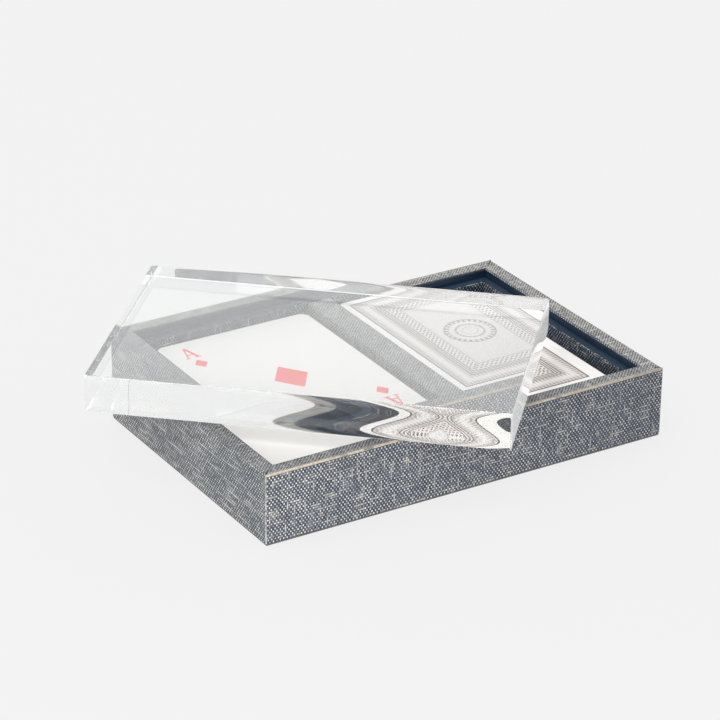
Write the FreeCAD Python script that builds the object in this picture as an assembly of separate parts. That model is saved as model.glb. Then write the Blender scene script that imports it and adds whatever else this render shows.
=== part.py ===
import FreeCAD, Part
import math
import os

# A shallow two-well tray for playing cards, clad in linen, with a loose clear lid that lies askew on its rim.
# Millimetres. The origin is on the table under the middle of the tray: +X runs along the long front side,
# +Y to the back and +Z up.

# Playing cards of the usual wide size; the stray turns are angles in radians from one card to the next
card_width = 63.0
card_length = 88.0
card_corner = 3.5
card_thickness = 0.295
cards_per_deck = 52
card_stray = 0.15
stray_turn_x = 2.4
stray_turn_y = 1.7

# Wells: the room round a deck, how much of it lies between deck and divider, and the room above a deck
well_play_x = 4.7
well_play_y = 5.0
left_deck_play_share = 0.68
right_deck_play_share = 0.085
deck_headroom = 2.16

# Frame: the rim over its cloth, and the rebate and ledge inside it that take the lid
rim_width = 6.1
rebate_depth = 3.7
ledge_width = 3.7

# Cloth on its paper backing, and the small radius where it folds over an edge
linen_thickness = 0.8
fold_radius = 0.6

# Base
base_felt_thickness = 0.8
base_felt_inset = 0.3
base_panel_thickness = 4.2
base_panel_reach = 2.7
floor_felt_thickness = 0.7

# Splines that key the mitred corners of the walls
spline_thickness = 1.6
spline_width = 4.0
spline_end_gap = 2.0

# Divider between the wells, over its cloth
divider_width = 10.0
divider_drop = 0.4
divider_housing = 1.2

# Lid: a solid slab, smaller than the rebate by a gap all round, laid askew
lid_thickness = 14.1
lid_play = 1.4
lid_edge_round = 0.5
lid_centre_x = -24.5
lid_centre_y = 3.6
lid_turn = -42.0

# Half sizes in plan, from the divider and the wells out to the cloth on the outside
divider_face = divider_width / 2
divider_core_face = divider_face - linen_thickness
well_x = divider_face + card_width + well_play_x
well_y = (card_length + well_play_y) / 2
rail_x = well_x + linen_thickness
rail_y = well_y + linen_thickness
rebate_x = well_x + ledge_width
rebate_y = well_y + ledge_width
half_width = rebate_x + rim_width
half_depth = rebate_y + rim_width
core_x = half_width - linen_thickness
core_y = half_depth - linen_thickness

# Heights, from the table up
panel_bottom = base_felt_thickness
panel_top = panel_bottom + base_panel_thickness
floor_top = panel_top + floor_felt_thickness
deck_top = floor_top + card_thickness * cards_per_deck
ledge_top = deck_top + deck_headroom
divider_top = ledge_top - divider_drop
tray_height = ledge_top + rebate_depth
wall_top = tray_height - linen_thickness

up = FreeCAD.Vector(0, 0, 1)


def block(low, high):
    """A box from its lowest corner to its highest."""
    size = [b - a for a, b in zip(low, high)]
    return Part.makeBox(size[0], size[1], size[2], FreeCAD.Vector(low[0], low[1], low[2]))


def prism(outline, bottom, top):
    """A plan outline, given as (x, y) points, raised from one height to another."""
    corners = [FreeCAD.Vector(x, y, bottom) for x, y in outline]
    face = Part.Face(Part.makePolygon(corners + corners[:1]))
    return face.extrude(up * (top - bottom))


def mirrored(outline, x_sign, y_sign):
    """The same outline on another side of the tray."""
    return [(x * x_sign, y * y_sign) for x, y in outline]


def save(name, *solids):
    """Write one piece, or a group of separate pieces, to its own file."""
    shape = solids[0] if len(solids) == 1 else Part.makeCompound(list(solids))
    shape.exportStep("parts/" + name + ".step")
    print(name, len(shape.Solids), round(shape.Volume, 1), "valid" if shape.isValid() else "INVALID")


# Plan outlines of the mitred frame, for the front and the left: the back and the right are their mirror images
front_outline = [
    (-core_x, -core_y),
    (core_x, -core_y),
    (rebate_x, -rebate_y),
    (-rebate_x, -rebate_y),
]
left_outline = [
    (-core_x, core_y),
    (-core_x, -core_y),
    (-rebate_x, -rebate_y),
    (-rebate_x, rebate_y),
]
sides = {
    "front": (front_outline, 1, 1),
    "back": (front_outline, 1, -1),
    "left": (left_outline, 1, 1),
    "right": (left_outline, -1, 1),
}


def base_panel():
    """The bottom board, let into a rebate along the foot of each wall."""
    reach_x = rebate_x + base_panel_reach
    reach_y = rebate_y + base_panel_reach
    return block((-reach_x, -reach_y, panel_bottom), (reach_x, reach_y, panel_top))


def base_felt():
    """The felt under the tray, a little inside its edges."""
    felt_x = half_width - base_felt_inset
    felt_y = half_depth - base_felt_inset
    return block((-felt_x, -felt_y, 0), (felt_x, felt_y, base_felt_thickness))


def corner_spline(x_sign, y_sign):
    """A strip set across a mitre, square to it and half in each wall."""
    bottom = panel_top + spline_end_gap
    top = wall_top - spline_end_gap
    strip = block(
        (-spline_thickness / 2, -spline_width / 2, bottom),
        (spline_thickness / 2, spline_width / 2, top),
    )
    mitre_angle = math.degrees(math.atan2(y_sign, x_sign))
    strip.rotate(FreeCAD.Vector(0, 0, 0), up, mitre_angle)
    middle_x = (core_x + rebate_x) / 2
    middle_y = (core_y + rebate_y) / 2
    strip.translate(FreeCAD.Vector(x_sign * middle_x, y_sign * middle_y, 0))
    return strip


def wall(side, panel, splines):
    """One mitred wall, with the rebate for the base and the grooves for its splines."""
    outline, x_sign, y_sign = sides[side]
    solid = prism(mirrored(outline, x_sign, y_sign), panel_bottom, wall_top)
    return solid.cut(panel).cut(Part.makeCompound(splines))


def long_ledge_rail(y_sign, divider):
    """The front or back rail under the lid, from wall to wall, housed for the divider."""
    y_edges = sorted((y_sign * rail_y, y_sign * rebate_y))
    rail = block((-rebate_x, y_edges[0], panel_top), (rebate_x, y_edges[1], ledge_top))
    return rail.cut(divider)


def short_ledge_rail(x_sign):
    """The left or right rail under the lid, between the two long ones."""
    x_edges = sorted((x_sign * rail_x, x_sign * rebate_x))
    return block((x_edges[0], -rail_y, panel_top), (x_edges[1], rail_y, ledge_top))


def divider_core():
    """The bar between the wells, with its ends in the long rails."""
    reach = rail_y + divider_housing
    top = divider_top - linen_thickness
    return block((-divider_core_face, -reach, panel_top), (divider_core_face, reach, top))


def divider_linen(core):
    """One strip of cloth up one side of the divider, over its top and down the other."""
    wrap = block((-divider_face, -rail_y, panel_top), (divider_face, rail_y, divider_top))
    return wrap.cut(core)


def long_linen(y_sign):
    """The front or back cloth: a flat sheet the full width of the tray, with cut edges at its top and ends."""
    y_edges = sorted((y_sign * core_y, y_sign * half_depth))
    return block((-half_width, y_edges[0], panel_bottom), (half_width, y_edges[1], tray_height))


def short_linen(x_sign):
    """The left or right cloth: up the wall and folded over the rim to the rebate, mitred at its ends."""
    face_cloth = block((-half_width, -core_y, panel_bottom), (-core_x, core_y, tray_height))
    rim_cloth = prism(left_outline, wall_top, tray_height)
    cloth = face_cloth.fuse(rim_cloth).removeSplitter()
    fold = [
        edge
        for edge in cloth.Edges
        if all(
            abs(corner.X + half_width) < fold_radius / 2 and abs(corner.Z - tray_height) < fold_radius / 2
            for corner in edge.Vertexes
        )
    ]
    cloth = cloth.makeFillet(fold_radius, fold)
    if x_sign > 0:
        cloth = cloth.mirror(FreeCAD.Vector(0, 0, 0), FreeCAD.Vector(1, 0, 0))
    return cloth


def rim_linen(side):
    """The strip of cloth on top of the front or back wall."""
    outline, x_sign, y_sign = sides[side]
    return prism(mirrored(outline, x_sign, y_sign), wall_top, tray_height)


def long_well_lining(x_sign, y_sign):
    """Cloth on the front or back of a well, from the divider to the corner."""
    x_edges = sorted((x_sign * divider_face, x_sign * rail_x))
    y_edges = sorted((y_sign * well_y, y_sign * rail_y))
    return block((x_edges[0], y_edges[0], panel_top), (x_edges[1], y_edges[1], ledge_top))


def end_well_lining(x_sign):
    """Cloth on the outer end of a well."""
    x_edges = sorted((x_sign * well_x, x_sign * rail_x))
    return block((x_edges[0], -well_y, panel_top), (x_edges[1], well_y, ledge_top))


def well_floor(x_sign):
    """Felt on the floor of a well."""
    x_edges = sorted((x_sign * divider_face, x_sign * well_x))
    return block((x_edges[0], -well_y, panel_top), (x_edges[1], well_y, floor_top))


def lid_slab():
    """The clear slab, with softly broken edges, turned and laid on the rim."""
    half_length = rebate_x - lid_play
    half_breadth = rebate_y - lid_play
    slab = block((-half_length, -half_breadth, 0), (half_length, half_breadth, lid_thickness))
    slab = slab.makeFillet(lid_edge_round, slab.Edges)
    slab.rotate(FreeCAD.Vector(0, 0, 0), up, lid_turn)
    slab.translate(FreeCAD.Vector(lid_centre_x, lid_centre_y, tray_height))
    return slab


def card(centre_x, centre_y, bottom):
    """One card with rounded corners, lying flat."""
    low_x = centre_x - card_width / 2
    high_x = centre_x + card_width / 2
    low_y = centre_y - card_length / 2
    high_y = centre_y + card_length / 2
    sheet = block((low_x, low_y, bottom), (high_x, high_y, bottom + card_thickness))
    upright = [edge for edge in sheet.Edges if edge.BoundBox.ZLength > card_thickness / 2]
    return sheet.makeFillet(card_corner, upright)


def deck(centre_x):
    """All the cards of a deck from the bottom up, each a little out of line with the next."""
    cards = []
    for place in range(cards_per_deck):
        top_card = place == cards_per_deck - 1
        stray = 0 if top_card else card_stray
        stray_x = stray * math.sin(place * stray_turn_x)
        stray_y = stray * math.cos(place * stray_turn_y)
        cards.append(card(centre_x + stray_x, stray_y, floor_top + place * card_thickness))
    return cards


os.makedirs("parts", exist_ok=True)

panel = base_panel()
splines = [corner_spline(x_sign, y_sign) for x_sign in (-1, 1) for y_sign in (-1, 1)]
divider = divider_core()

save("base_panel", panel)
save("base_felt", base_felt())
save("corner_splines", *splines)
for side in sides:
    save(side + "_wall", wall(side, panel, splines))

save("front_ledge_rail", long_ledge_rail(-1, divider))
save("back_ledge_rail", long_ledge_rail(1, divider))
save("left_ledge_rail", short_ledge_rail(-1))
save("right_ledge_rail", short_ledge_rail(1))
save("divider_core", divider)
save("divider_linen", divider_linen(divider))

save("front_linen", long_linen(-1))
save("back_linen", long_linen(1))
save("left_linen", short_linen(-1))
save("right_linen", short_linen(1))
save("front_rim_linen", rim_linen("front"))
save("back_rim_linen", rim_linen("back"))

for well, x_sign in (("left", -1), ("right", 1)):
    save(well + "_well_front_lining", long_well_lining(x_sign, -1))
    save(well + "_well_back_lining", long_well_lining(x_sign, 1))
    save(well + "_well_end_lining", end_well_lining(x_sign))
    save(well + "_well_floor", well_floor(x_sign))

save("lid_slab", lid_slab())

left_deck = deck(-divider_face - well_play_x * left_deck_play_share - card_width / 2)
right_deck = deck(divider_face + well_play_x * right_deck_play_share + card_width / 2)
save("ace_card", left_deck[-1])
save("left_deck_cards", *left_deck[:-1])
save("backed_card", right_deck[-1])
save("right_deck_cards", *right_deck[:-1])
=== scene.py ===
import math

import bmesh
import bpy
from mathutils import Matrix, Vector


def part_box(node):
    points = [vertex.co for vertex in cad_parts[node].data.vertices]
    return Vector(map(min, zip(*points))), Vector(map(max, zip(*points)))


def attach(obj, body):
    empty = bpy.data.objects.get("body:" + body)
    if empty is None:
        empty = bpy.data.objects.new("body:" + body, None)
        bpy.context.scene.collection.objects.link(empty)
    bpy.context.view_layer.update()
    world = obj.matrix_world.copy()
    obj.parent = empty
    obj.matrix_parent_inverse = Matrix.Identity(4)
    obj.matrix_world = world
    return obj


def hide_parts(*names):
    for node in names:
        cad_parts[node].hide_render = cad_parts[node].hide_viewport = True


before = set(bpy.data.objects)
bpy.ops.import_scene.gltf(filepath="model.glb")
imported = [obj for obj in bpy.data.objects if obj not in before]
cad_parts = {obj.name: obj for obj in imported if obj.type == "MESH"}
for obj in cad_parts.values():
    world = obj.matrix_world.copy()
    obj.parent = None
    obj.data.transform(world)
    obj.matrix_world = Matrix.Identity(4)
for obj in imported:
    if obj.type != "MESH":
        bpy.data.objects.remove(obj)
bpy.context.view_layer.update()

# A shallow linen tray with two decks of cards and a thick clear lid lying askew on its rim. Metres.

# Camera: where it looks, how far it stands, and its angles in degrees
camera_aim = Vector((-0.0027, 0.0136, 0.0219))
camera_distance = 1.13
camera_azimuth = -31.77
camera_elevation = 25.55
camera_roll = 0.64
camera_lens_mm = 154.9

# Linen: the spacing of its threads and how high they stand, how far they wander, the length of their thick
# places and how fast these change from thread to thread, and the size of its cloudy patches
thread_spacing_along = 0.00069
thread_spacing_up = 0.00094
side_spacing_along = 0.00065
thread_height = 0.00015
thread_wander = 0.00055
thread_wander_length = 0.011
slub_length = 0.006
long_slub_length = 0.013
level_slub_change = 0.7
upright_slub_change = 1.7
cloud_length = 0.02

# Weave: where a dot begins and is full on the arch of a thread, from which tone to which a level or an
# upright thread grows thick, how far the gaps reach, how faint the clouds are, and thread ends along edges
dot_shares = (0.22, 0.66)
level_slub_tone_shares = (0.56, 0.74)
upright_slub_tone_shares = (0.61, 0.74)
gap_reach_share = 0.35
cloud_low_share = 0.8
fringe_comb_shares = (0.7, 0.95)
fringe_share = 0.8
shaded_edge_share = 0.8
edge_comb_shares = (-0.3, 0.5)
edge_rub_tone_shares = (0.55, 0.7)
edge_rub_share = 0.6
edge_thinner_share = 0.5
thread_end_tone_shares = (0.46, 0.62)

# Noise lies mostly between these shares of its range
noise_shares = (0.35, 0.65)

# Cloth by its place: how much the thick places show in level and in upright threads, how much light the gaps
# between the threads keep, and the red, green and blue that the cloth keeps at one end and at the other
slub_shares = (0.6, 0.7)
side_slub_shares = (0.5, 0.1)
front_gap_share = 0.6
side_gap_share = 0.7
rim_gap_share = 0.75
lining_gap_share = 0.5
# The front cloth is lighter towards its left end, and the side cloth lighter towards the back
front_fading_shares = ((1.26, 1.23, 1.2), (0.75, 0.75, 0.75))
side_fading_shares = ((1.04, 1.03, 0.99), (1.16, 1.13, 1.06))
# Painted shade: the rims are darker towards the front and the left, where the lid lies over them
front_rim_fading_shares = ((0.86, 0.87, 0.89), (1.1, 1.09, 1.06))
side_rim_fading_shares = ((0.94, 0.95, 0.97), (1.04, 1.03, 1.0))

# Cloth and felt: thickness, folds, rounded, worn, frayed and shaded edges, and the tangle of the felt
linen_thickness = 0.0008
linen_fold_radius = 0.0006
linen_edge_round = 0.00025
linen_top_round = 0.00055
linen_worn_edge = 0.0006
linen_frayed_depth = 0.0008
linen_fringe = 0.0011
linen_shaded_edge = 0.0006
raw_edge_height = 0.0002
felt_edge_round = 0.0001
felt_tangle = 0.000714
felt_tangle_height = 0.0003

# Lacquer and board: the peel of the lacquer, the marks of the brush, and the fibres of bare board
lacquer_peel = 0.0011
lacquer_peel_height = 0.0002
lacquer_roughness = (0.26, 0.46)
brush_length = 0.03
brush_width = 0.0008
board_fibre = 0.000833
board_fibre_height = 0.0002

# Lid: the gap that it leaves in the rebate, its turn in degrees, its broken edges and sawn arris, the air
# under it, the steps of the mesh of its sides, and how far these draw in at the top and at the foot
lid_play = 0.0014
lid_turn = -42.0
lid_corner_round = 0.0005
lid_edge_round = 0.0001
lid_arris = 0.00045
lid_air_gap = 0.00004
lid_ripple_step = 0.0015
lid_ripple_layer = 0.0007
lid_top_crown = 0.00034
lid_front_foot_crown = 0.0003
lid_end_foot_crown = 0.0002
lid_crown_power = 5.0

# Acrylic: the patches of rubbing, how clear each kind of face is, and the painted glow of sawn faces
rub_length = 0.025
rub_roughness = 0.006
polished_clear_share = 1.0
rubbed_clear_share = 0.95
sawn_clear_share = 0.12
sawn_painted_glow = 0.36
arris_painted_glow = 0.1

# Card stock: the spacing and height of its emboss
emboss_spacing = 0.000455
emboss_height = 0.00005

# Print on the ace: where its index and pips stand from the middle of the card, and their sizes
index_across = 0.0223
index_up = 0.035
index_pip_up = 0.0255
index_letter_size = (0.0062, 0.0085)
index_pip_size = (0.0051, 0.0069)
ace_pip_size = (0.0136, 0.019)
ink_thickness = 0.00002
ink_mottle = 0.000667

# The letter of the index as shares of its width and height: its outline and the opening in it
letter_shares = (
    ((0.0, 0.0), (0.32, 0.0), (0.32, 0.06), (0.22, 0.06), (0.285, 0.28), (0.64, 0.28), (0.71, 0.06))
    + ((0.6, 0.06), (0.6, 0.0), (1.0, 0.0), (1.0, 0.06), (0.89, 0.06), (0.58, 1.0), (0.44, 1.0))
    + ((0.13, 0.06), (0.0, 0.06)),
    ((0.31, 0.36), (0.475, 0.8), (0.615, 0.36)),
)
pip_shares = (((0.5, 0.0), (1.0, 0.5), (0.5, 1.0), (0.0, 0.5)),)

# Print on the back of a card: how deep its frames reach in from the edge, and the spacing of their patterns
back_frame_depth = 0.022
hatch_spacing = 0.0015
lattice_spacing = 0.0021
rosette_radius = 0.012
back_print_shift = Vector((-0.0008, 0.0013, 0.0))
back_print_narrowing = Vector((0.0006, 0.0, 0.0))
rosette_shift = Vector((0.0001, -0.0012, 0.0))
rosette_beads = 26.0

# Ink by the share of that depth, as pairs of place and strength: lines and tints, moulding, lattice
back_line_shares = (
    ((0.0, 0.0), (0.184, 0.0), (0.188, 1.0), (0.21, 1.0), (0.214, 0.34), (0.27, 0.37), (0.33, 0.18))
    + ((0.4, 0.12), (0.45, 0.26), (0.505, 0.38), (0.51, 0.95), (0.526, 0.95), (0.53, 0.3), (0.552, 0.3))
    + ((0.556, 0.95), (0.572, 0.95), (0.576, 0.3), (0.598, 0.3), (0.602, 0.95), (0.618, 0.95), (0.622, 0.22))
    + ((0.82, 0.22), (0.824, 0.6), (0.84, 0.6), (0.844, 0.26), (1.0, 0.24))
)
back_moulding_shares = (
    ((0.2, 0.0), (0.214, 0.55), (0.27, 0.7), (0.32, 0.36), (0.35, 0.24), (0.4, 0.24), (0.43, 0.4))
    + ((0.47, 0.7), (0.505, 0.55), (0.51, 0.0))
)
back_lattice_shares = ((0.622, 0.0), (0.63, 1.0), (0.81, 1.0), (0.82, 0.0))

# Where a hatch, a dash and a bead begin and are full on the waves that make them, and the ink between hatches
hatch_shares = (-0.8, 0.4)
hatch_low_share = 0.2
dash_length_shares = (0.5, 0.75)
dash_width_shares = (0.6, 0.8)
bead_shares = (-0.5, 0.7)

# Ink of the rosette by the share of its radius: rings, beads
rosette_ring_shares = (
    ((0.0, 0.2), (0.22, 0.15), (0.24, 0.5), (0.265, 0.5), (0.285, 0.15), (0.4, 0.2), (0.42, 0.75))
    + ((0.45, 0.75), (0.47, 0.2), (0.5, 0.03), (0.65, 0.03), (0.66, 0.55), (0.685, 0.55), (0.695, 0.15))
    + ((0.77, 0.15), (0.78, 0.9), (0.81, 0.9), (0.82, 0.2), (0.9, 0.0))
)
rosette_bead_shares = (
    ((0.4, 0.0), (0.42, 0.85), (0.48, 0.85), (0.5, 0.1), (0.62, 0.1), (0.68, 0.9), (0.77, 0.9), (0.79, 0.0))
)

# Faces that meet at less than this many degrees are shaded as one surface
smooth_angle = 40.0

# Points that lie closer together than this are merged
weld_distance = 0.000002

# A face counts as facing a way when its normal has more than this share of it; for the arris, the share that
# points up lies between two
facing_share = 0.5
rim_facing_share = 0.6
worn_facing_share = 0.2
cut_end_facing_share = 0.3
lid_flat_facing_share = 0.95
lid_side_facing_share = 0.7
arris_facing_shares = (-0.9, -0.4)
arris_side_facing_share = 0.4

# Studio: a pale floor that is lit from below, and soft lamps by name, with their place, size and power in
# watts. The panel stands where the top of the lid mirrors it to the camera.
floor_size = 12.0
floor_glow = 0.885
lamps = {
    "key_lamp": ((-0.6, 0.1, 1.4), 1.2, 6.0),
    "near_lamp": ((-0.55, -0.6, 0.45), 0.5, 1.2),
    "panel_in_the_lid": ((0.71, 1.15, 0.69), 1.0, 2.4),
}
light_bounces = 32

# Colours that are used in more than one place
studio_white = "#F2F2F2"
card_white = "#F7F5F2"
slub_cream = "#F4EDDF"


def linear(hex_colour):
    """An sRGB hex colour as linear red, green, blue and alpha."""
    parts = [int(hex_colour[place:place + 2], 16) / 255 for place in (1, 3, 5)]
    return [p / 12.92 if p <= 0.04045 else ((p + 0.055) / 1.055) ** 2.4 for p in parts] + [1.0]


def add(tree, kind, inputs=None, stops=(), **settings):
    """Add a shader node with its settings and the grey stops of its ramp, and set or link its inputs.
    Gives its outputs.
    """
    node = tree.nodes.new("ShaderNode" + kind)
    for name, value in settings.items():
        setattr(node, name, value)
    for number, (position, grey) in enumerate(stops):
        ramp = node.color_ramp.elements
        element = ramp[number] if number < len(ramp) else ramp.new(position)
        element.position = position
        element.color = (grey, grey, grey, 1.0)
    for name, value in (inputs or {}).items():
        if isinstance(value, bpy.types.NodeSocket):
            tree.links.new(value, node.inputs[name])
        else:
            node.inputs[name].default_value = value
    return node.outputs


def new_material(name):
    """An empty node material and its tree."""
    material = bpy.data.materials.new(name)
    material.use_nodes = True
    material.node_tree.nodes.clear()
    return material, material.node_tree


def linen(name, along, indigo_pair, natural_pair, gap_share, spacing_up=thread_spacing_up, **extras):
    """Chambray linen, woven plain from indigo upright threads and natural level ones.
    The eye sees rows of off-white dots on navy, cloudy from place to place, and cream streaks where threads
    are thicker for a stretch. Extras are spacing_along: the spacing of the upright threads; slubs: how much
    the thick places show in level and in upright threads, and their length in level ones; fading: an axis,
    its two ends and the shares of colour there; fringe: the two sides of a band; shaded_edge: where the edge
    beside the wells lies.
    """
    material, tree = new_material(name)
    place = add(tree, "SeparateXYZ", {0: add(tree, "TexCoord")["Object"]})
    u = place[along]
    other = "Y" if along == "X" else "X"
    v = add(tree, "Math", {0: place["Z"], 1: place[other]})[0]
    cloth = add(tree, "CombineXYZ", {"X": u, "Y": v})[0]
    wander = add(
        tree,
        "TexNoise",
        {"Vector": cloth, "Scale": 1 / thread_wander_length, "Detail": 1.0},
        noise_dimensions="2D",
    )["Color"]
    centred = add(tree, "VectorMath", {0: wander, 1: (0.5, 0.5, 0.5)}, operation="SUBTRACT")[0]
    reach = (thread_wander, thread_wander, thread_wander)
    drawn = add(tree, "VectorMath", {0: centred, 1: reach, 2: cloth}, operation="MULTIPLY_ADD")[0]
    spacing = (extras.get("spacing_along", thread_spacing_along), spacing_up, 1.0)
    count = add(tree, "VectorMath", {0: drawn, 1: spacing}, operation="DIVIDE")[0]
    cell = add(tree, "VectorMath", {0: count}, operation="FLOOR")[0]
    inside = add(tree, "VectorMath", {0: count, 1: cell}, operation="SUBTRACT")[0]
    number = add(tree, "SeparateXYZ", {0: cell})
    share = add(tree, "SeparateXYZ", {0: inside})

    # Each thread rises to the middle of its crossing; the two kinds take turns on top
    arches = []
    for axis in ("X", "Y"):
        turn = add(tree, "Math", {0: share[axis], 1: math.pi}, operation="MULTIPLY")[0]
        arches.append(add(tree, "Math", {0: turn}, operation="SINE")[0])
    arch_u, arch_v = arches
    bulge = add(tree, "Math", {0: arch_u, 1: arch_v}, operation="MULTIPLY")[0]
    both = add(tree, "Math", {0: number["X"], 1: number["Y"]})[0]
    level_on_top = add(tree, "Math", {0: both, 1: 2.0}, operation="FLOORED_MODULO")[0]

    # Bands of a few neighbouring threads are thicker for a stretch
    level_share, upright_share, level_length = extras.get("slubs", (*slub_shares, slub_length))
    level_way = add(tree, "Math", {0: u, 1: level_length}, operation="DIVIDE")[0]
    level_row = add(tree, "Math", {0: number["Y"], 1: level_slub_change}, operation="MULTIPLY")[0]
    level_place = add(tree, "CombineXYZ", {"X": level_way, "Y": level_row})[0]
    level_tone = add(
        tree, "TexNoise", {"Vector": level_place, "Scale": 1.0, "Detail": 2.5}, noise_dimensions="2D"
    )[0]
    upright_way = add(tree, "Math", {0: v, 1: slub_length}, operation="DIVIDE")[0]
    upright_row = add(tree, "Math", {0: number["X"], 1: upright_slub_change}, operation="MULTIPLY")[0]
    upright_place = add(tree, "CombineXYZ", {"X": upright_row, "Y": upright_way})[0]
    upright_tone = add(
        tree, "TexNoise", {"Vector": upright_place, "Scale": 1.0, "Detail": 2.5}, noise_dimensions="2D"
    )[0]

    # How much natural thread shows: dots where it lies on top, and streaks along its thick places
    dot = add(
        tree,
        "MapRange",
        {"Value": bulge, "From Min": dot_shares[0], "From Max": dot_shares[1]},
        interpolation_type="SMOOTHSTEP",
    )[0]
    dots = add(tree, "Math", {0: dot, 1: level_on_top}, operation="MULTIPLY")[0]
    thin, full = level_slub_tone_shares
    thick = add(
        tree, "MapRange", {"Value": level_tone, "From Min": thin, "From Max": full, "To Max": level_share}
    )[0]
    streak = add(tree, "Math", {0: arch_v, 1: thick}, operation="MULTIPLY")[0]
    thin, full = upright_slub_tone_shares
    thick_up = add(
        tree, "MapRange", {"Value": upright_tone, "From Min": thin, "From Max": full, "To Max": upright_share}
    )[0]
    streak_up = add(tree, "Math", {0: arch_u, 1: thick_up}, operation="MULTIPLY")[0]
    streaks = add(tree, "Math", {0: streak, 1: streak_up}, operation="MAXIMUM")[0]
    shown = add(tree, "Math", {0: dots, 1: streaks}, operation="MAXIMUM")[0]
    cloud = add(
        tree,
        "TexNoise",
        {"Vector": cloth, "Scale": 1 / cloud_length, "Detail": 3.0},
        noise_dimensions="2D",
    )[0]
    low, high = noise_shares
    strength = add(
        tree, "MapRange", {"Value": cloud, "From Min": low, "From Max": high, "To Min": cloud_low_share}
    )[0]
    natural_share = add(tree, "Math", {0: shown, 1: strength}, operation="MULTIPLY")[0]

    # Each crossing has its own tone
    fleck = add(tree, "TexWhiteNoise", {"Vector": cell}, noise_dimensions="2D")["Value"]
    plain = add(
        tree, "Mix", {0: fleck, 6: linear(natural_pair[0]), 7: linear(natural_pair[1])}, data_type="RGBA"
    )[2]
    natural = add(tree, "Mix", {0: streaks, 6: plain, 7: linear(slub_cream)}, data_type="RGBA")[2]
    thread_tone = level_tone if level_share > upright_share else upright_tone
    indigo_tone = add(tree, "MapRange", {"Value": thread_tone, "From Min": low, "From Max": high})[0]
    indigo = add(
        tree, "Mix", {0: indigo_tone, 6: linear(indigo_pair[0]), 7: linear(indigo_pair[1])}, data_type="RGBA"
    )[2]
    yarn = add(tree, "Mix", {0: natural_share, 6: indigo, 7: natural}, data_type="RGBA")[2]
    gap = add(tree, "MapRange", {"Value": bulge, "From Max": gap_reach_share, "To Min": gap_share})[0]
    colour = add(tree, "VectorMath", {0: yarn, "Scale": gap}, operation="SCALE")[0]

    # The colour is scaled from one end of the cloth to the other; on the rims this is painted shade from the
    # lid
    if "fading" in extras:
        axis, start, end, start_shares, end_shares = extras["fading"]
        way = add(tree, "MapRange", {"Value": place[axis], "From Min": start, "From Max": end})[0]
        ramped_shares = add(tree, "Mix", {0: way, 4: start_shares, 5: end_shares}, data_type="VECTOR")[1]
        colour = add(tree, "VectorMath", {0: colour, 1: ramped_shares}, operation="MULTIPLY")[0]

    # The edge beside the wells lies in its own shade
    if "shaded_edge" in extras:
        from_middle = add(tree, "Math", {0: place[other]}, operation="ABSOLUTE")[0]
        inward = add(tree, "Math", {0: from_middle, 1: extras["shaded_edge"]}, operation="SUBTRACT")[0]
        near = add(tree, "Math", {0: inward}, operation="ABSOLUTE")[0]
        shade = add(
            tree,
            "MapRange",
            {"Value": near, "From Min": linen_shaded_edge, "From Max": 0.0, "To Max": shaded_edge_share},
        )[0]
        colour = add(tree, "Mix", {0: shade, 6: colour, 7: linear("#333B48")}, data_type="RGBA")[2]

    # Pale thread ends stand in a comb along the outer edge
    if "fringe" in extras:
        inner, outer = extras["fringe"]
        from_middle = add(tree, "Math", {0: place[other]}, operation="ABSOLUTE")[0]
        outward = add(tree, "MapRange", {"Value": from_middle, "From Min": inner, "From Max": outer})[0]
        thin, full = fringe_comb_shares
        comb = add(
            tree, "MapRange", {"Value": arch_u, "From Min": thin, "From Max": full, "To Max": fringe_share}
        )[0]
        tooth = add(tree, "Math", {0: comb, 1: outward}, operation="MULTIPLY")[0]
        colour = add(tree, "Mix", {0: tooth, 6: colour, 7: linear("#D3C8B3")}, data_type="RGBA")[2]
    relief = add(tree, "Bump", {"Height": bulge, "Strength": 0.35, "Distance": thread_height})[0]
    shader = add(
        tree,
        "BsdfPrincipled",
        {
            "Base Color": colour,
            "Roughness": 0.88,
            "Specular IOR Level": 0.25,
            "Sheen Weight": 0.15,
            "Normal": relief,
        },
    )[0]
    add(tree, "OutputMaterial", {"Surface": shader})
    return material


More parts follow.
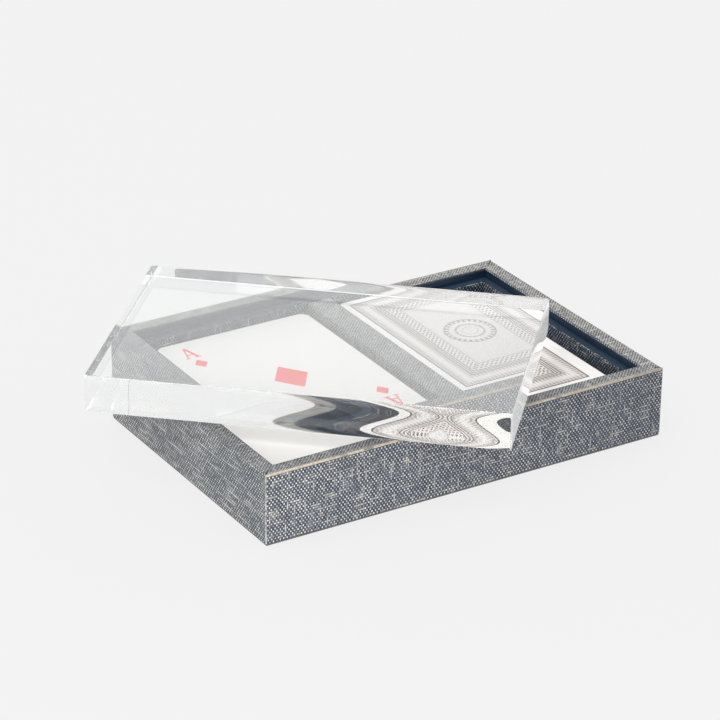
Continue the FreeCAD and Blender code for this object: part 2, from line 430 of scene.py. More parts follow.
def cut_edge():
    """The raw edge of the front and back cloth and its paper.
    It is cream, with a comb of dark thread ends along the inside, and here and there it has been rubbed away.
    """
    material, tree = new_material("raw_linen_edge")
    place = add(tree, "TexCoord")["Object"]
    where = add(tree, "SeparateXYZ", {0: place})
    ends = add(tree, "TexNoise", {"Vector": place, "Scale": 1 / thread_spacing_along, "Detail": 2.0})[0]
    tone = add(tree, "MapRange", {"Value": ends, "From Min": noise_shares[0], "From Max": noise_shares[1]})[0]
    cream = add(tree, "Mix", {0: tone, 6: linear("#BCAE97"), 7: linear("#E3D8C3")}, data_type="RGBA")[2]
    frayed = add(tree, "Mix", {0: tone, 6: linear("#7F828A"), 7: linear("#E9E5DC")}, data_type="RGBA")[2]
    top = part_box("back_linen")[1].z
    height = add(
        tree,
        "MapRange",
        {"Value": where["Z"], "From Min": top - linen_frayed_depth, "From Max": top - linen_top_round},
    )[0]
    raw = add(tree, "Mix", {0: height, 6: frayed, 7: cream}, data_type="RGBA")[2]
    turn = add(tree, "Math", {0: where["X"], 1: math.tau / thread_spacing_along}, operation="MULTIPLY")[0]
    tooth = add(tree, "Math", {0: turn}, operation="SINE")[0]
    from_middle = add(tree, "Math", {0: where["Y"]}, operation="ABSOLUTE")[0]
    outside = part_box("back_linen")[1].y
    inward = add(
        tree,
        "MapRange",
        {"Value": from_middle, "From Min": outside - linen_top_round, "From Max": outside - linen_thickness},
    )[0]
    thin, full = edge_comb_shares
    comb = add(tree, "MapRange", {"Value": tooth, "From Min": thin, "From Max": full})[0]
    toothed = add(tree, "Math", {0: comb, 1: inward}, operation="MULTIPLY")[0]
    rubbing = add(tree, "TexNoise", {"Vector": place, "Scale": 1 / slub_length, "Detail": 2.0})[0]
    whole, bare = edge_rub_tone_shares
    gone = add(
        tree, "MapRange", {"Value": rubbing, "From Min": whole, "From Max": bare, "To Max": edge_rub_share}
    )[0]
    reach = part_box("back_linen")[1].x
    thinner = add(tree, "MapRange", {"Value": where["X"], "From Max": reach, "To Max": edge_thinner_share})[0]
    rubbed = add(tree, "Math", {0: thinner, 1: gone}, operation="MAXIMUM")[0]
    dark = add(tree, "Math", {0: toothed, 1: rubbed}, operation="MAXIMUM")[0]
    colour = add(tree, "Mix", {0: dark, 6: raw, 7: linear("#5A606B")}, data_type="RGBA")[2]
    relief = add(tree, "Bump", {"Height": ends, "Strength": 0.5, "Distance": raw_edge_height})[0]
    shader = add(
        tree,
        "BsdfPrincipled",
        {"Base Color": colour, "Roughness": 0.9, "Specular IOR Level": 0.2, "Normal": relief},
    )[0]
    add(tree, "OutputMaterial", {"Surface": shader})
    return material


def thread_ends():
    """The top of a lining: a row of pale and dark thread ends."""
    material, tree = new_material("linen_thread_ends")
    place = add(tree, "TexCoord")["Object"]
    ends = add(tree, "TexNoise", {"Vector": place, "Scale": 1 / thread_spacing_along, "Detail": 1.0})[0]
    dark, pale = thread_end_tone_shares
    tone = add(tree, "MapRange", {"Value": ends, "From Min": dark, "From Max": pale})[0]
    colour = add(tree, "Mix", {0: tone, 6: linear("#262D39"), 7: linear("#A3A4A4")}, data_type="RGBA")[2]
    shader = add(
        tree, "BsdfPrincipled", {"Base Color": colour, "Roughness": 0.9, "Specular IOR Level": 0.2}
    )[0]
    add(tree, "OutputMaterial", {"Surface": shader})
    return material


def navy_lacquer(name, dark, light, grain):
    """Satin navy lacquer brushed on fibreboard: deep blue with soft marks of the brush along the piece."""
    material, tree = new_material(name)
    place = add(tree, "TexCoord")["Object"]
    peel = add(tree, "TexNoise", {"Vector": place, "Scale": 1 / lacquer_peel, "Detail": 2.0})[0]
    drawn = add(tree, "VectorMath", {0: place, 1: grain}, operation="DIVIDE")[0]
    marks = add(tree, "TexNoise", {"Vector": drawn, "Scale": 1.0, "Detail": 2.0})[0]
    low, high = noise_shares
    tone = add(tree, "MapRange", {"Value": marks, "From Min": low, "From Max": high})[0]
    colour = add(tree, "Mix", {0: tone, 6: linear(dark), 7: linear(light)}, data_type="RGBA")[2]
    smooth, rough = lacquer_roughness
    gloss = add(tree, "MapRange", {"Value": marks, "To Min": smooth, "To Max": rough})[0]
    relief = add(tree, "Bump", {"Height": peel, "Strength": 0.06, "Distance": lacquer_peel_height})[0]
    shader = add(
        tree,
        "BsdfPrincipled",
        {"Base Color": colour, "Roughness": gloss, "Specular IOR Level": 0.3, "Normal": relief},
    )[0]
    add(tree, "OutputMaterial", {"Surface": shader})
    return material


def fibreboard():
    """Bare fibreboard: a matt brown with fine fibres."""
    material, tree = new_material("fibreboard")
    place = add(tree, "TexCoord")["Object"]
    fibres = add(tree, "TexNoise", {"Vector": place, "Scale": 1 / board_fibre, "Detail": 3.0})[0]
    colour = add(tree, "Mix", {0: fibres, 6: linear("#8A6D4D"), 7: linear("#B79772")}, data_type="RGBA")[2]
    relief = add(tree, "Bump", {"Height": fibres, "Strength": 0.3, "Distance": board_fibre_height})[0]
    shader = add(tree, "BsdfPrincipled", {"Base Color": colour, "Roughness": 0.85, "Normal": relief})[0]
    add(tree, "OutputMaterial", {"Surface": shader})
    return material


def wool_felt(name, dark, light):
    """Dense wool felt: matt, with a fine tangle of fibres and a soft sheen."""
    material, tree = new_material(name)
    place = add(tree, "TexCoord")["Object"]
    tangle = add(tree, "TexNoise", {"Vector": place, "Scale": 1 / felt_tangle, "Detail": 4.0})[0]
    colour = add(tree, "Mix", {0: tangle, 6: linear(dark), 7: linear(light)}, data_type="RGBA")[2]
    relief = add(tree, "Bump", {"Height": tangle, "Strength": 0.6, "Distance": felt_tangle_height})[0]
    shader = add(
        tree,
        "BsdfPrincipled",
        {"Base Color": colour, "Roughness": 0.95, "Sheen Weight": 0.3, "Normal": relief},
    )[0]
    add(tree, "OutputMaterial", {"Surface": shader})
    return material


def clear_acrylic(name, tint, clear_share, passed_light, glow=0.0):
    """Clear cast acrylic. Its polished edges are clean, and its faces carry a faint haze of rubbing.
    Sawn faces are milky, and a painted glow on them stands in for the light that the slab has gathered.
    Passed light is how much of the lamps' light and of bounced light goes straight through.
    """
    material, tree = new_material(name)
    place = add(tree, "TexCoord")["Object"]
    rubbing = add(tree, "TexNoise", {"Vector": place, "Scale": 1 / rub_length, "Detail": 3.0})[0]
    gloss = add(tree, "MapRange", {"Value": rubbing, "To Min": 0.0, "To Max": rub_roughness})[0]
    # Painted glow: the emission stands in for the light that the slab gathers and lets out at its sawn faces
    clear = add(
        tree,
        "BsdfPrincipled",
        {
            "Base Color": linear(tint),
            "Roughness": gloss,
            "IOR": 1.49,
            "Transmission Weight": clear_share,
            "Emission Color": linear("#FFFFFF"),
            "Emission Strength": glow,
        },
    )[0]
    passing = add(tree, "BsdfTransparent", {"Color": linear(passed_light)})[0]
    path = add(tree, "LightPath")
    lit = add(tree, "Math", {0: path["Is Shadow Ray"], 1: path["Is Diffuse Ray"]}, operation="MAXIMUM")[0]
    shader = add(tree, "MixShader", {0: lit, 1: clear, 2: passing})[0]
    add(tree, "OutputMaterial", {"Surface": shader})
    return material


def card_stock():
    """White coated card stock with a faint linen emboss that breaks up its gloss."""
    material, tree = new_material("coated_card_stock")
    place = add(tree, "TexCoord")["Object"]
    grain = add(tree, "TexNoise", {"Vector": place, "Scale": 1 / emboss_spacing, "Detail": 2.0})[0]
    colour = add(tree, "Mix", {0: grain, 6: linear("#F4F2EF"), 7: linear(card_white)}, data_type="RGBA")[2]
    relief = add(tree, "Bump", {"Height": grain, "Strength": 0.1, "Distance": emboss_height})[0]
    shader = add(tree, "BsdfPrincipled", {"Base Color": colour, "Roughness": 0.45, "Normal": relief})[0]
    add(tree, "OutputMaterial", {"Surface": shader})
    return material


def printed_back(node):
    """The back of a card: nested frames of fine brown ink on white stock, which blend to a warm grey.
    From the margin inwards: a strong line, a moulding hatched with strokes that are fainter in its middle,
    fine lines, a lattice of slanting dashes, a plain tinted field, and a rosette of rings and beads.
    """
    low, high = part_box(node)
    middle = (low + high) / 2 + back_print_shift
    material, tree = new_material("printed_card_stock")
    place = add(tree, "TexCoord")["Object"]
    from_middle = add(tree, "VectorMath", {0: place, 1: middle}, operation="SUBTRACT")[0]
    apart = add(tree, "VectorMath", {0: from_middle}, operation="ABSOLUTE")[0]
    half_size = (high - low) / 2 - back_print_narrowing
    from_edges = add(tree, "VectorMath", {0: half_size, 1: apart}, operation="SUBTRACT")[0]
    way = add(tree, "SeparateXYZ", {0: from_middle})
    edge = add(tree, "SeparateXYZ", {0: from_edges})
    depth = add(tree, "Math", {0: edge["X"], 1: edge["Y"]}, operation="MINIMUM")[0]
    on_long_side = add(tree, "Math", {0: edge["X"], 1: edge["Y"]}, operation="LESS_THAN")[0]
    along = add(tree, "Mix", {0: on_long_side, 2: way["X"], 3: way["Y"]})[0]
    depth_share = add(tree, "Math", {0: depth, 1: back_frame_depth}, operation="DIVIDE")[0]

    # Plain ink by the distance from the edge of the card: the fine lines and the tints
    lines = add(tree, "ValToRGB", {0: depth_share}, stops=back_line_shares)[0]

    # Hatches square to the border, strong at both sides of the moulding
    hatch_turn = add(tree, "Math", {0: along, 1: math.tau / hatch_spacing}, operation="MULTIPLY")[0]
    hatch_wave = add(tree, "Math", {0: hatch_turn}, operation="SINE")[0]
    bare, full = hatch_shares
    hatch = add(
        tree, "MapRange", {"Value": hatch_wave, "From Min": bare, "From Max": full, "To Min": hatch_low_share}
    )[0]
    moulding = add(tree, "ValToRGB", {0: depth_share}, stops=back_moulding_shares)[0]
    hatched = add(tree, "Math", {0: hatch, 1: moulding}, operation="MULTIPLY")[0]

    # A lattice of slanting dashes
    stripes = []
    for slant, (bare, full) in (("ADD", dash_length_shares), ("SUBTRACT", dash_width_shares)):
        slanting = add(tree, "Math", {0: along, 1: depth}, operation=slant)[0]
        turn = add(tree, "Math", {0: slanting, 1: math.pi / lattice_spacing}, operation="MULTIPLY")[0]
        wave = add(tree, "Math", {0: turn}, operation="SINE")[0]
        swell = add(tree, "Math", {0: wave}, operation="ABSOLUTE")[0]
        stripes.append(add(tree, "MapRange", {"Value": swell, "From Min": bare, "From Max": full})[0])
    dashes = add(tree, "Math", {0: stripes[0], 1: stripes[1]}, operation="MULTIPLY")[0]
    lattice = add(tree, "ValToRGB", {0: depth_share}, stops=back_lattice_shares)[0]
    latticed = add(tree, "Math", {0: dashes, 1: lattice}, operation="MULTIPLY")[0]

    # The rosette: rings by the distance from the middle, beads by the angle
    from_hub = add(tree, "VectorMath", {0: from_middle, 1: rosette_shift}, operation="SUBTRACT")[0]
    spoke = add(tree, "SeparateXYZ", {0: from_hub})
    flat = add(tree, "CombineXYZ", {"X": spoke["X"], "Y": spoke["Y"]})[0]
    reach = add(tree, "VectorMath", {0: flat}, operation="LENGTH")["Value"]
    reach_share = add(tree, "Math", {0: reach, 1: rosette_radius}, operation="DIVIDE")[0]
    rings = add(tree, "ValToRGB", {0: reach_share}, stops=rosette_ring_shares)[0]
    angle = add(tree, "Math", {0: spoke["Y"], 1: spoke["X"]}, operation="ARCTAN2")[0]
    bead_turn = add(tree, "Math", {0: angle, 1: rosette_beads}, operation="MULTIPLY")[0]
    bead_wave = add(tree, "Math", {0: bead_turn}, operation="SINE")[0]
    bare, full = bead_shares
    bead = add(tree, "MapRange", {"Value": bead_wave, "From Min": bare, "From Max": full})[0]
    beaded = add(tree, "ValToRGB", {0: reach_share}, stops=rosette_bead_shares)[0]
    beads = add(tree, "Math", {0: bead, 1: beaded}, operation="MULTIPLY")[0]

    frames = add(tree, "Math", {0: hatched, 1: latticed}, operation="MAXIMUM")[0]
    rosette = add(tree, "Math", {0: rings, 1: beads}, operation="MAXIMUM")[0]
    patterns = add(tree, "Math", {0: frames, 1: rosette}, operation="MAXIMUM")[0]
    printed = add(tree, "Math", {0: patterns, 1: lines}, operation="MAXIMUM")[0]
    colour = add(
        tree, "Mix", {0: printed, 6: linear(card_white), 7: linear("#5C3D2B")}, data_type="RGBA"
    )[2]
    shader = add(tree, "BsdfPrincipled", {"Base Color": colour, "Roughness": 0.45})[0]
    add(tree, "OutputMaterial", {"Surface": shader})
    return material


def red_ink():
    """Red printing ink on coated stock, with the slight mottle of the press."""
    material, tree = new_material("red_printing_ink")
    place = add(tree, "TexCoord")["Object"]
    mottle = add(tree, "TexNoise", {"Vector": place, "Scale": 1 / ink_mottle, "Detail": 2.0})[0]
    colour = add(tree, "Mix", {0: mottle, 6: linear("#F2160A"), 7: linear("#FC2411")}, data_type="RGBA")[2]
    shader = add(tree, "BsdfPrincipled", {"Base Color": colour, "Roughness": 0.4})[0]
    add(tree, "OutputMaterial", {"Surface": shader})
    return material


def studio_paper():
    """The pale floor, lit from below as well so that it stays even right up to the object."""
    material, tree = new_material("studio_paper")
    glow = add(tree, "Emission", {"Color": linear(studio_white), "Strength": floor_glow})[0]
    matt = add(tree, "BsdfDiffuse", {"Color": linear("#555555")})[0]
    add(tree, "OutputMaterial", {"Surface": add(tree, "AddShader", {0: glow, 1: matt})[0]})
    return material


# Threads by their darkest and lightest colour, and where the cloth begins and ends
outer_indigo = ("#414856", "#616874")
outer_natural = ("#A2A6AD", "#FDFDFC")
side_natural = ("#979BA1", "#FFFFFA")
rim_indigo = ("#434A57", "#72777F")
rim_natural = ("#BBB8B1", "#F3EBDC")
lining_indigo = ("#0A1322", "#17243A")
lining_natural = ("#626F83", "#A8B4C4")
left_end, right_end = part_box("front_linen")[0].x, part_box("front_linen")[1].x
front_end, back_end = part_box("left_linen")[0].y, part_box("left_linen")[1].y
rim_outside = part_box("back_rim_linen")[1].y
rim_fringe = (rim_outside - linen_fringe, rim_outside)
rim_inside_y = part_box("back_rim_linen")[0].y
rim_inside_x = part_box("right_linen")[0].x
linen_x = linen(
    "chambray_linen_front",
    "X",
    outer_indigo,
    outer_natural,
    front_gap_share,
    fading=("X", left_end, right_end, *front_fading_shares),
)
linen_y = linen(
    "chambray_linen_side",
    "Y",
    outer_indigo,
    side_natural,
    side_gap_share,
    slubs=(*side_slub_shares, long_slub_length),
    spacing_along=side_spacing_along,
    fading=("Y", front_end, back_end, *side_fading_shares),
)
rim_linen_x = linen(
    "chambray_linen_front_rim",
    "X",
    rim_indigo,
    rim_natural,
    rim_gap_share,
    thread_spacing_along,
    fading=("Y", front_end, back_end, *front_rim_fading_shares),
    fringe=rim_fringe,
    shaded_edge=rim_inside_y,
)
rim_linen_y = linen(
    "chambray_linen_side_rim",
    "Y",
    rim_indigo,
    rim_natural,
    rim_gap_share,
    thread_spacing_along,
    fading=("X", left_end, right_end, *side_rim_fading_shares),
    shaded_edge=rim_inside_x,
)
lining_linen_x = linen("chambray_linen_front_lining", "X", lining_indigo, lining_natural, lining_gap_share)
lining_linen_y = linen("chambray_linen_side_lining", "Y", lining_indigo, lining_natural, lining_gap_share)
raw_edge = cut_edge()
lining_top = thread_ends()
# Painted light and shade: the ledges, which face up, get a lighter copy of the walls' navy lacquer
shaded_wall_navy = ("#18293E", "#24374D")
lit_ledge_navy = ("#2A3A4D", "#384A5E")
brushed_along = (brush_length, brush_width, brush_width)
brushed_across = (brush_width, brush_length, brush_width)
lacquer = {
    "front_wall": navy_lacquer("navy_lacquer_long_wall", *shaded_wall_navy, brushed_along),
    "left_wall": navy_lacquer("navy_lacquer_short_wall", *shaded_wall_navy, brushed_across),
    "front_ledge_rail": navy_lacquer("navy_lacquer_long_ledge", *lit_ledge_navy, brushed_along),
    "left_ledge_rail": navy_lacquer("navy_lacquer_short_ledge", *lit_ledge_navy, brushed_across),
}
board = fibreboard()
well_felt = wool_felt("navy_wool_felt", "#1B222D", "#343E4D")
base_felt = wool_felt("grey_wool_felt", "#5F5A55", "#78736E")
acrylic_edge = clear_acrylic("acrylic_polished_edge", "#FCFDFC", polished_clear_share, "#F8F8F8")
acrylic_front = clear_acrylic("acrylic_polished_front", "#FCFDFC", polished_clear_share, "#101010")
# The sawn end and the sawn arris carry a painted glow
acrylic_sawn = clear_acrylic("acrylic_sawn_end", "#A9A9A9", sawn_clear_share, "#8A8A8A", sawn_painted_glow)
acrylic_arris = clear_acrylic("acrylic_sawn_arris", "#FFFFFF", sawn_clear_share, "#8A8A8A", arris_painted_glow)
acrylic_face = clear_acrylic("acrylic_rubbed_face", "#E9EAEA", rubbed_clear_share, "#F8F8F8")
stock = card_stock()
ink = red_ink()


def choose(piece):
    """Select one object alone and make it the active one."""
    bpy.ops.object.select_all(action="DESELECT")
    piece.select_set(True)
    bpy.context.view_layer.objects.active = piece


def edit(piece, kind, test):
    """Open one piece for editing, with those of its vertices, edges or faces selected that pass a test."""
    choose(piece)
    bpy.ops.object.mode_set(mode="EDIT")
    bpy.ops.mesh.select_mode(type=kind)
    bpy.ops.mesh.select_all(action="DESELECT")
    mesh = bmesh.from_edit_mesh(piece.data)
    mesh.normal_update()
    parts = {"VERT": mesh.verts, "EDGE": mesh.edges, "FACE": mesh.faces}[kind]
    for part in [part for part in parts if test(part)]:
        part.select_set(True)
    bmesh.update_edit_mesh(piece.data)


def done():
    """Close the piece that is being edited."""
    bpy.ops.object.mode_set(mode="OBJECT")


def block(name, low, high):
    """A box from its lowest corner to its highest, as a start for a piece."""
    bpy.ops.object.select_all(action="DESELECT")
    middle = (Vector(low) + Vector(high)) / 2
    bpy.ops.mesh.primitive_cube_add(size=1.0, location=middle, scale=Vector(high) - Vector(low))
    piece = bpy.context.object
    piece.name = name
    bpy.ops.object.transform_apply(location=True, rotation=True, scale=True)
    return piece


def is_upright(edge):
    """Whether an edge stands upright."""
    way = edge.verts[1].co - edge.verts[0].co
    return abs(way.z) > abs(way.x) + abs(way.y)


def bevel(piece, width, segments, test):
    """Round or break the edges of a piece that pass a test."""
    edit(piece, "EDGE", test)
    bpy.ops.mesh.bevel(offset=width, segments=segments, profile=0.5, affect="EDGES")
    done()


def remove_faces(piece, test):
    """Delete the faces of a piece that pass a test."""
    edit(piece, "FACE", test)
    bpy.ops.mesh.delete(type="FACE")
    done()


def thicken(piece):
    """Give a bare surface the thickness of cloth, inwards."""
    cloth = piece.modifiers.new("cloth", "SOLIDIFY")
    cloth.thickness = linen_thickness
    cloth.offset = -1.0
    bpy.ops.object.modifier_apply(modifier=cloth.name)


def dress(piece, body, slot, *materials):
    """Give a piece its materials and its body, shade it smooth, and merge points that lie in one place."""
    edit(piece, "VERT", lambda vert: True)
    bpy.ops.mesh.remove_doubles(threshold=weld_distance)
    bpy.ops.mesh.dissolve_degenerate(threshold=weld_distance)
    done()
    for material in materials:
        piece.data.materials.append(material)
    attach(piece, body)
    choose(piece)
    bpy.ops.object.shade_smooth_by_angle(angle=math.radians(smooth_angle))
    even = piece.modifiers.new("even_light", "WEIGHTED_NORMAL")
    even.keep_sharp = True
    bpy.ops.object.modifier_apply(modifier=even.name)


def paint(piece, number, test):
    """Give the faces that pass a test another of the piece's materials."""
    for face in piece.data.polygons:
        if test(face):
            face.material_index = number


def outer_sheet(side, y_sign):
    """The front or back cloth, with its worn top edge and its cut ends."""
    node = side + "_linen"
    low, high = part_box(node)
    piece = block(side + "_cloth", low, high)
    outside = high.y if y_sign > 0 else low.y

    def is_outer(edge):
        return all(abs(v.co.y - outside) < linen_edge_round for v in edge.verts)

    def is_top(edge):
        return is_outer(edge) and all(v.co.z > high.z - linen_edge_round for v in edge.verts)

    def is_worn(face):
        return face.normal.z > worn_facing_share or abs(face.normal.x) > cut_end_facing_share

    bevel(piece, linen_worn_edge, 3, lambda edge: is_outer(edge) and is_upright(edge))
    bevel(piece, linen_top_round, 3, is_top)
    dress(piece, "tray", "linen", linen_x, raw_edge)
    paint(piece, 1, is_worn)
    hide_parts(node)
    strip = rim_strip(side, y_sign)


def side_wrap(side, x_sign):
    """The left or right cloth, folded over the rim."""
    node = side + "_linen"
    low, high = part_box(node)
    piece = block(side + "_cloth", low, high)
    outside = high.x if x_sign > 0 else low.x
    inside = low.x if x_sign > 0 else high.x
    remove_faces(piece, lambda face: max(face.normal.z, face.normal.x * x_sign) < facing_share)
    inner_half = -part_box("front_ledge_rail")[0].y
    squeeze = inner_half / high.y
    edit(piece, "VERT", lambda vert: abs(vert.co.x - inside) < linen_edge_round)
    bpy.ops.transform.resize(value=(1.0, squeeze, 1.0), center_override=(inside, 0.0, high.z))
    done()

    def is_fold(edge):
        at_top = all(v.co.z > high.z - linen_edge_round for v in edge.verts)
        return at_top and all(abs(v.co.x - outside) < linen_edge_round for v in edge.verts)

    bevel(piece, linen_fold_radius, 4, is_fold)
    thicken(piece)
    dress(piece, "tray", "linen", linen_y, rim_linen_y)
    paint(piece, 1, lambda face: face.normal.z > rim_facing_share)
    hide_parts(node)


def rim_strip(side, y_sign):
    """The strip of cloth on top of the front or back wall, mitred at its ends."""
    node = side + "_rim_linen"
    low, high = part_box(node)
    piece = block(side + "_rim_cloth", low, high)
    inside = low.y if y_sign > 0 else high.y
    inner_half = -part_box("front_ledge_rail")[0].x
    edit(piece, "VERT", lambda vert: abs(vert.co.y - inside) < linen_edge_round)
    bpy.ops.transform.resize(value=(inner_half / high.x, 1.0, 1.0), center_override=(0.0, inside, high.z))
    done()

    def is_long(edge):
        return abs(edge.verts[0].co.x - edge.verts[1].co.x) > inner_half

    bevel(piece, linen_edge_round / 2, 2, is_long)
    dress(piece, "tray", "linen", rim_linen_x)
    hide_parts(node)
    return piece


def divider_wrap():
    """The cloth over the divider, up one side and down the other."""
    low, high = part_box("divider_linen")
    piece = block("divider_cloth", low, high)
    remove_faces(piece, lambda face: max(-face.normal.z, abs(face.normal.y)) > facing_share)

    def is_fold(edge):
        at_top = all(v.co.z > high.z - linen_edge_round for v in edge.verts)
        return at_top and abs(edge.verts[0].co.x - edge.verts[1].co.x) < linen_edge_round

    bevel(piece, linen_fold_radius, 4, is_fold)
    thicken(piece)
    dress(piece, "tray", "linen", rim_linen_y)
    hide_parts("divider_linen")


def well_lining(node, weave):
    """The cloth on one side of a well, with its cut edge level with the ledge."""
    low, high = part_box(node)
    piece = block(node.replace("_lining", "_cloth"), low, high)
    bevel(piece, linen_edge_round, 2, lambda edge: True)
    dress(piece, "tray", "linen", weave, lining_top)
    paint(piece, 1, lambda face: face.normal.z > facing_share)
    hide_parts(node)


def felt_pad(node, felt):
    """A pad of felt with soft edges."""
    low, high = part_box(node)
    piece = block(node + "_felt", low, high)
    bevel(piece, felt_edge_round, 2, lambda edge: True)
    dress(piece, "tray", "felt", felt)
    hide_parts(node)


def ink_patch(name, shares, size, place, turned):
    """A patch of ink from its outlines, flat on the card and turned round if it reads from the other end."""
    outline = bpy.data.curves.new(name, "CURVE")
    outline.dimensions = "2D"
    outline.fill_mode = "BOTH"
    outline.extrude = ink_thickness / 2
    for loop in shares:
        spline = outline.splines.new("POLY")
        spline.points.add(len(loop) - 1)
        spline.use_cyclic_u = True
        for point, (across, up) in zip(spline.points, loop):
            point.co = ((across - 0.5) * size[0], (up - 0.5) * size[1], 0.0, 1.0)
    patch = bpy.data.objects.new(name, outline)
    bpy.context.collection.objects.link(patch)
    choose(patch)
    bpy.ops.object.convert(target="MESH")
    patch.location = place
    patch.rotation_euler = (0.0, 0.0, math.pi if turned else 0.0)
    bpy.ops.object.transform_apply(location=True, rotation=True, scale=True)
    return patch


def ace_print():
    """The print of the ace: an index in two corners and the large pip in the middle."""
    low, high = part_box("ace_card")
    middle = Vector(((low.x + high.x) / 2, (low.y + high.y) / 2, high.z + ink_thickness / 2))
    patches = [ink_patch("ace_print", pip_shares, ace_pip_size, middle, False)]
    for name, sign, turned in (("upper_index", 1, False), ("lower_index", -1, True)):
        letter_place = middle + Vector((-index_across * sign, index_up * sign, 0.0))
        pip_place = middle + Vector((-index_across * sign, index_pip_up * sign, 0.0))
        patches.append(ink_patch(name + "_letter", letter_shares, index_letter_size, letter_place, turned))
        patches.append(ink_patch(name + "_pip", pip_shares, index_pip_size, pip_place, turned))
    choose(patches[0])
    for patch in patches:
        patch.select_set(True)
    bpy.ops.object.join()
    dress(patches[0], "left_deck", "card_stock", ink)


def lid():
    """The clear slab: an outline with rounded corners, raised in layers so that its sides can bend."""
    low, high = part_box("lid_slab")
    half_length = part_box("front_ledge_rail")[1].x - lid_play
    half_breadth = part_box("back_ledge_rail")[1].y - lid_play
    height = high.z - low.z - lid_air_gap
    bpy.ops.object.select_all(action="DESELECT")
    bpy.ops.mesh.primitive_plane_add(size=2.0)
    piece = bpy.context.object
    piece.name = "clear_lid"
    piece.scale = (half_length, half_breadth, 1.0)
    bpy.ops.object.transform_apply(location=True, rotation=True, scale=True)
    edit(piece, "VERT", lambda vert: True)
    bpy.ops.mesh.bevel(offset=lid_corner_round, segments=4, profile=0.5, affect="VERTICES")
    bpy.ops.mesh.select_all(action="SELECT")
    bpy.ops.mesh.delete(type="ONLY_FACE")
    done()
    for axis, half in (("x", half_length), ("y", half_breadth)):
        edit(piece, "EDGE", lambda edge: abs(getattr(edge.verts[0].co - edge.verts[1].co, axis)) > half)
        bpy.ops.mesh.subdivide(number_cuts=int(2 * half / lid_ripple_step))
        done()
    edit(piece, "EDGE", lambda edge: True)
    bpy.ops.mesh.edge_face_add()
    layers = int(height / lid_ripple_layer)
    for layer in range(layers):
        bpy.ops.mesh.extrude_region_move(TRANSFORM_OT_translate={"value": (0.0, 0.0, height / layers)})
    bpy.ops.mesh.select_all(action="SELECT")
    bpy.ops.mesh.normals_make_consistent(inside=False)
    done()

    # The far edge of its underside has a sawn arris, the other edges are only broken
    def is_level(edge):
        return not is_upright(edge) and min(edge.verts[0].co.z, height - edge.verts[0].co.z) < lid_edge_round

    def is_sawn(edge):
        middle = (edge.verts[0].co + edge.verts[1].co) / 2
        return is_level(edge) and middle.z < height / 2 and middle.y > half_breadth - lid_corner_round

    bevel(piece, lid_arris, 1, is_sawn)
    bevel(piece, lid_edge_round, 3, lambda edge: is_level(edge) and not is_sawn(edge))
    edit(piece, "FACE", lambda face: len(face.verts) > 4)
    bpy.ops.mesh.inset(thickness=lid_edge_round)
    done()

    # Its sides draw in a little towards the top and the foot
    for vert in piece.data.vertices:
        rise = vert.co.z / height * 2 - 1
        bend = abs(rise) ** lid_crown_power
        front_foot = lid_front_foot_crown if vert.co.y < 0 else 0.0
        vert.co.y -= (lid_top_crown if rise > 0 else front_foot) * bend * vert.co.y / half_breadth
        vert.co.x -= (lid_top_crown if rise > 0 else lid_end_foot_crown) * bend * vert.co.x / half_length
    middle = (low + high) / 2
    piece.rotation_euler = (0.0, 0.0, math.radians(lid_turn))
    piece.location = (middle.x, middle.y, low.z + lid_air_gap)
    bpy.ops.object.transform_apply(location=True, rotation=True, scale=True)
    sides = (acrylic_edge, acrylic_front, acrylic_sawn, acrylic_arris)
    dress(piece, "lid", "clear_acrylic", acrylic_face, *sides)
    along = Vector((math.cos(math.radians(lid_turn)), math.sin(math.radians(lid_turn)), 0.0))
    across = Vector((-along.y, along.x, 0.0))

    def is_side(face):
        return abs(face.normal.z) < lid_flat_facing_share

    def is_arris(face):
        steep, shallow = arris_facing_shares
        return steep < face.normal.z < shallow and face.normal.dot(across) > arris_side_facing_share

    paint(piece, 1, is_side)
    paint(piece, 2, lambda face: is_side(face) and face.normal.dot(across) < -lid_side_facing_share)
    paint(piece, 3, lambda face: face.normal.dot(along) > lid_side_facing_share)
    paint(piece, 4, is_arris)
    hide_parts("lid_slab")


for side, y_sign in (("front", -1), ("back", 1)):
    outer_sheet(side, y_sign)
for side, x_sign in (("left", -1), ("right", 1)):
    side_wrap(side, x_sign)
    well_lining(side + "_well_front_lining", lining_linen_x)
    well_lining(side + "_well_back_lining", lining_linen_x)
    well_lining(side + "_well_end_lining", lining_linen_y)
    felt_pad(side + "_well_floor", well_felt)
divider_wrap()
felt_pad("base_felt", base_felt)
ace_print()
lid()

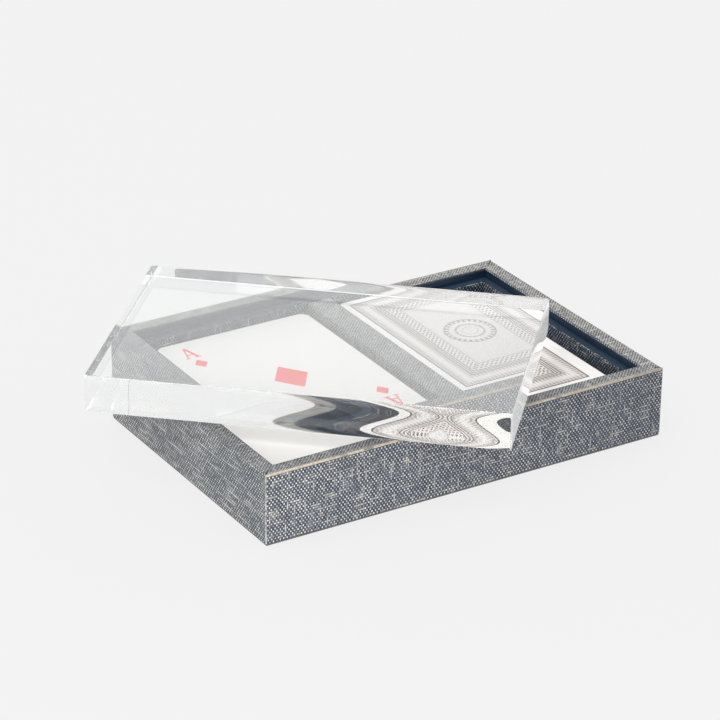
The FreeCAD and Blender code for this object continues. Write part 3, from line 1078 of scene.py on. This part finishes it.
# The rigid pieces keep their shape and take their finish
finishes = {"base_panel": board, "corner_splines": board, "divider_core": board}
for side, like in (("front", "front"), ("back", "front"), ("left", "left"), ("right", "left")):
    for kind in ("_wall", "_ledge_rail"):
        finishes[side + kind] = lacquer[like + kind]
for name in ("ace_card", "left_deck_cards", "right_deck_cards"):
    finishes[name] = stock
finishes["backed_card"] = printed_back("backed_card")
for name, finish in finishes.items():
    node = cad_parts[name]
    node.data.materials.clear()
    node.data.materials.append(finish)

# Floor
bpy.ops.object.select_all(action="DESELECT")
bpy.ops.mesh.primitive_plane_add(size=floor_size)
floor = bpy.context.object
floor.name = "floor"
floor.data.materials.append(studio_paper())

# Light all round, and the soft lamps
world = bpy.data.worlds.new("studio")
bpy.context.scene.world = world
world.use_nodes = True
world.node_tree.nodes["Background"].inputs["Color"].default_value = linear(studio_white)
for name, (place, size, power) in lamps.items():
    lamp_data = bpy.data.lights.new(name, "AREA")
    lamp_data.energy = power
    lamp_data.size = size
    lamp = bpy.data.objects.new(name, lamp_data)
    bpy.context.collection.objects.link(lamp)
    lamp.location = place
    lamp.rotation_euler = (camera_aim - lamp.location).to_track_quat("-Z", "Y").to_euler()

# Camera
azimuth = math.radians(camera_azimuth)
elevation = math.radians(camera_elevation)
back = Vector(
    (
        math.sin(azimuth) * math.cos(elevation),
        -math.cos(azimuth) * math.cos(elevation),
        math.sin(elevation),
    )
)
camera_data = bpy.data.cameras.new("camera")
camera_data.lens = camera_lens_mm
camera = bpy.data.objects.new("camera", camera_data)
bpy.context.collection.objects.link(camera)
level = (-back).to_track_quat("-Z", "Y").to_matrix().to_4x4()
roll = Matrix.Rotation(math.radians(camera_roll), 4, "Z")
camera.matrix_world = Matrix.Translation(camera_aim + back * camera_distance) @ level @ roll
bpy.context.scene.camera = camera
bpy.context.scene.view_settings.view_transform = "Standard"

# Light goes to and fro many times inside the thick lid before it leaves it
bpy.context.scene.cycles.max_bounces = light_bounces
bpy.context.scene.cycles.glossy_bounces = light_bounces
bpy.context.scene.cycles.transmission_bounces = light_bounces
